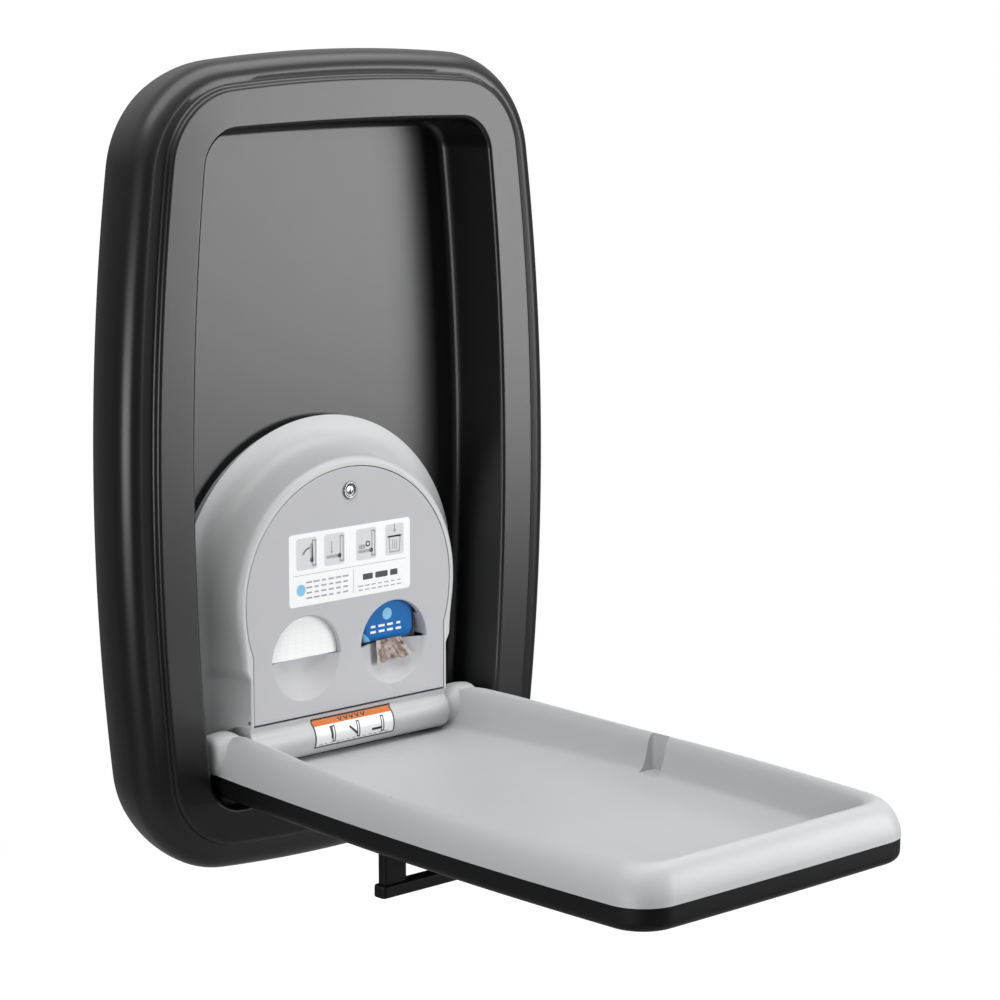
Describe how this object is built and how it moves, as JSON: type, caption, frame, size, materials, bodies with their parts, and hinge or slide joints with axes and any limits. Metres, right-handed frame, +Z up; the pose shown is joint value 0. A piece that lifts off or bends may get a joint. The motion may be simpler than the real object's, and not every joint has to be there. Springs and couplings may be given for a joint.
{
  "type": "baby changing station",
  "caption": "Upright wall-held baby changing station: rounded black housing, grey fold-down bed slowed by a gas spring, and a locking dispenser door with finger openings for liners and bags.",
  "frame": {"origin": "on the wall face of the wall plate, on the middle line, about the middle height of the housing", "axes": "+Y into the wall, the user stands on the -Y side; +Z up; +X to the right as the user sees it; the bed is folded down at rest"},
  "size_m": [0.584, 0.703, 0.8594],
  "materials": {
    "black_shell": "satin moulded polyethylene, black",
    "black_pan": "satin moulded polyethylene, black",
    "grey_shell": "fine grained moulded polyethylene, light grey",
    "grey_door": "fine grained moulded plastic, light grey",
    "dark_plastic": "matt moulded plastic, dark grey",
    "steel": "zinc plated",
    "bright_steel": "ground",
    "black_paint": "satin black paint",
    "chrome": "bright",
    "nylon": "natural nylon",
    "rubber": "matt",
    "paper": "embossed soft paper, white",
    "film_blue": "printed film, blue",
    "film_brown": "thin film, grey brown"
  },
  "bodies": {
    "station": {"housing": "black_shell", "wall_plate": "steel", "hinge_bracket_right": "steel", "hinge_bracket_left": "steel", "hinge_bush_right": "nylon", "hinge_bush_left": "nylon", "dispenser_body": "grey_shell", "lock_strike": "steel", "gas_anchor": "steel", "gas_cylinder": "black_paint", "stop_pad_right": "rubber", "stop_pad_left": "rubber"},
    "bed": {"bed_tray": "grey_shell", "bed_shell": "black_pan", "bed_frame": "steel", "hinge_rod": "bright_steel", "crank_arm": "steel", "handle_bar": "black_pan", "handle_post_right": "black_pan", "handle_post_left": "black_pan"},
    "gas_spring_rod": {"gas_rod": "bright_steel"},
    "door": {"door_panel": "grey_door", "door_pin_right": "bright_steel", "door_pin_left": "bright_steel", "lock_body": "chrome", "liner_pocket": "dark_plastic", "bag_pocket": "dark_plastic", "liner_stack": "paper", "bag_pack": "film_blue"},
    "lock": {"lock_plug": "chrome", "lock_cam": "bright_steel"},
    "liner": {"liner_tongue": "paper"},
    "bag": {"bag_tail": "film_brown"}
  },
  "joints": [
    {"name": "bed_fold", "type": "hinge", "parent": "station", "child": "bed", "pos_m": [0, -0.0553, -0.301], "axis": [-1, 0, 0], "range_deg": [0, 90]},
    {"name": "gas_slide", "type": "slide", "parent": "station", "child": "gas_spring_rod", "axis": [0, 0, -1], "range_m": [0, 0.0312]},
    {"name": "door_swing", "type": "hinge", "parent": "station", "child": "door", "pos_m": [0, -0.0667, -0.271], "axis": [-1, 0, 0], "range_deg": [-85, 0]},
    {"name": "lock_turn", "type": "hinge", "parent": "door", "child": "lock", "pos_m": [0, -0.0702, -0.038], "axis": [0, -1, 0], "range_deg": [0, 90]},
    {"name": "liner_pull", "type": "slide", "parent": "door", "child": "liner", "axis": [0, 0.9063, 0.4226], "range_m": [-0.032, 0]},
    {"name": "bag_pull", "type": "slide", "parent": "door", "child": "bag", "axis": [0, 0.9063, 0.4226], "range_m": [-0.032, 0]}
  ],
  "couplings": [
    {"joint": "gas_slide", "follows": "bed_fold", "m_per_rad": 0.019807}
  ]
}
